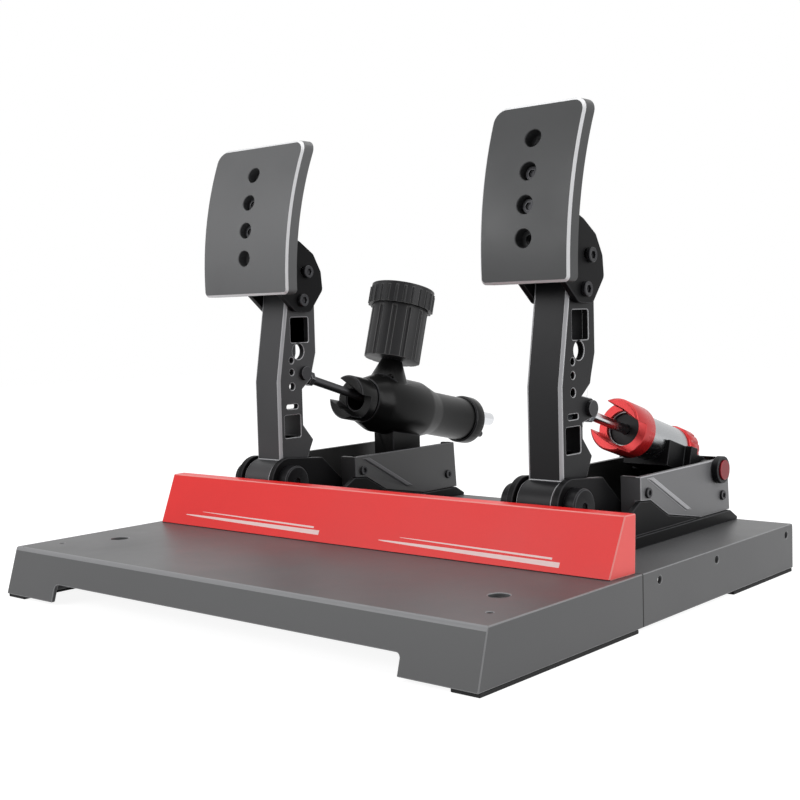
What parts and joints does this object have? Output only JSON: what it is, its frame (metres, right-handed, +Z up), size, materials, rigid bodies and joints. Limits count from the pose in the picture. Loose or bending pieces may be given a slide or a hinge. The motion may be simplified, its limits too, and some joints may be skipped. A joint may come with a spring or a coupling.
{
  "type": "sim racing pedal set",
  "caption": "Sim racing pedal set: throttle with tilting damper and brake with hydraulic master cylinder on a folded steel base with a red heel stop.",
  "frame": {"origin": "on the floor, under the middle of the set's outer box", "axes": "+X across the set to the throttle side (the driver's right), +Y away from the driver, +Z up"},
  "size_m": [0.42, 0.473, 0.326],
  "materials": {
    "grey_sheet": "satin powder coat",
    "red_sheet": "gloss red paint",
    "foot_rubber": "matt",
    "black_steel": "black oxide",
    "black_arm": "black anodised, satin",
    "black_housing": "black satin",
    "grey_housing": "dark grey satin",
    "cylinder_black": "black anodised",
    "red_anodised": "red anodised",
    "bright_steel": "bright",
    "bare_aluminium": "bare, satin",
    "bronze": "sintered bronze",
    "pad_grey": "dark grey anodised, satin",
    "black_plastic": "matt",
    "seal_rubber": "matt",
    "board_green": "printed circuit board"
  },
  "bodies": {
    "base": {"angle_sensor_board": "board_green", "bleed_nipple": "black_steel", "brake_axle_caps": "black_arm", "brake_bearings": "bronze", "brake_cable_socket": "black_plastic", "brake_housing": "black_housing", "brake_pivot_bracket": "black_arm", "cylinder_end_cap": "cylinder_black", "cylinder_foot_bolts": "black_steel", "front_plate": "grey_sheet", "heel_stop": "red_sheet", "heel_stop_screws": "black_steel", "housing_screws": "black_steel", "master_cylinder": "cylinder_black", "mount_bolts": "black_steel", "piston_spring": "bright_steel", "pressure_sensor": "bare_aluminium", "rear_plate": "grey_sheet", "reservoir": "black_plastic", "reservoir_diaphragm": "seal_rubber", "rubber_feet": "foot_rubber", "seam_bolts": "black_steel", "throttle_axle_caps": "black_arm", "throttle_bearings": "bronze", "throttle_cable_socket": "black_plastic", "throttle_housing": "grey_housing", "throttle_pivot_bracket": "black_arm", "trunnion_buttons": "red_anodised", "trunnion_pins": "black_arm"},
    "throttle_pedal": {"throttle_arm": "black_arm", "throttle_axle": "bright_steel", "throttle_link_pin": "bright_steel", "angle_magnet": "bright_steel", "throttle_carrier_screws": "black_steel"},
    "throttle_face": {"throttle_pad_carrier": "black_arm", "throttle_pad": "pad_grey", "throttle_pad_screws": "black_steel"},
    "damper": {"damper_tube": "bare_aluminium", "damper_gland": "black_plastic", "damper_cradle": "black_arm", "damper_spring": "bright_steel"},
    "throttle_plunger": {"throttle_rod": "bright_steel", "throttle_rod_end": "bright_steel", "damper_piston": "bronze"},
    "throttle_collar": {"throttle_collar": "red_anodised"},
    "adjuster": {"damper_adjuster": "red_anodised"},
    "brake_pedal": {"brake_arm": "black_arm", "brake_axle": "bright_steel", "brake_link_pin": "bright_steel", "brake_carrier_screws": "black_steel"},
    "brake_face": {"brake_pad_carrier": "black_arm", "brake_pad": "pad_grey", "brake_pad_screws": "black_steel"},
    "piston": {"brake_piston": "bare_aluminium", "piston_seals": "seal_rubber"},
    "push_rod": {"brake_push_rod": "bright_steel", "brake_rod_end": "bright_steel"},
    "brake_collar": {"brake_collar": "cylinder_black"},
    "reservoir_cap": {"reservoir_cap": "black_plastic"}
  },
  "joints": [
    {"name": "throttle_pedal", "type": "hinge", "parent": "base", "child": "throttle_pedal", "pos_m": [0.1285, -0.05101, 0.068], "axis": [-1, 0, 0], "range_deg": [0, 18], "stiffness_Nm_per_rad": 12, "springref_deg": -20.05},
    {"name": "throttle_face_tilt", "type": "hinge", "parent": "throttle_pedal", "child": "throttle_face", "pos_m": [0.1285, -0.03001, 0.207], "axis": [-1, 0, 0], "range_deg": [-8, 8]},
    {"name": "damper_tilt", "type": "hinge", "parent": "base", "child": "damper", "pos_m": [0.1285, 0.11755, 0.07472], "axis": [-1, 0, 0], "range_deg": [-4, 1]},
    {"name": "damper_stroke", "type": "slide", "parent": "damper", "child": "throttle_plunger", "axis": [0, 0.9588, -0.284], "range_m": [-0.001, 0.024], "deforming": ["damper_spring"]},
    {"name": "throttle_collar_turn", "type": "hinge", "parent": "damper", "child": "throttle_collar", "pos_m": [0.1285, 0.04637, 0.10957], "axis": [0, 0.9588, -0.284], "continuous": true},
    {"name": "adjuster_turn", "type": "hinge", "parent": "damper", "child": "adjuster", "pos_m": [0.1285, 0.12106, 0.08745], "axis": [0, 0.9588, -0.284], "continuous": true},
    {"name": "brake_pedal", "type": "hinge", "parent": "base", "child": "brake_pedal", "pos_m": [-0.1285, -0.05101, 0.068], "axis": [-1, 0, 0], "range_deg": [0, 9], "stiffness_Nm_per_rad": 120, "springref_deg": -3.44},
    {"name": "brake_face_tilt", "type": "hinge", "parent": "brake_pedal", "child": "brake_face", "pos_m": [-0.1285, -0.03001, 0.207], "axis": [-1, 0, 0], "range_deg": [-8, 8]},
    {"name": "piston_stroke", "type": "slide", "parent": "base", "child": "piston", "axis": [0, 0.981, -0.1942], "range_m": [-0.001, 0.015], "deforming": ["piston_spring"]},
    {"name": "push_rod_swing", "type": "hinge", "parent": "piston", "child": "push_rod", "pos_m": [-0.1285, 0.07938, 0.11862], "axis": [-1, 0, 0], "range_deg": [-3, 1]},
    {"name": "brake_collar_turn", "type": "hinge", "parent": "base", "child": "brake_collar", "pos_m": [-0.1285, 0.04652, 0.12513], "axis": [0, 0.981, -0.1942], "continuous": true},
    {"name": "reservoir_cap_turn", "type": "hinge", "parent": "base", "child": "reservoir_cap", "pos_m": [-0.1285, 0.11196, 0.20759], "axis": [0, 0.284, 0.9588], "continuous": true}
  ],
  "couplings": [
    {"joint": "damper_tilt", "follows": "throttle_pedal", "ratio": -0.17723},
    {"joint": "damper_stroke", "follows": "throttle_pedal", "m_per_rad": 0.066591},
    {"joint": "piston_stroke", "follows": "brake_pedal", "m_per_rad": 0.086025},
    {"joint": "push_rod_swing", "follows": "brake_pedal", "ratio": -0.14421}
  ]
}
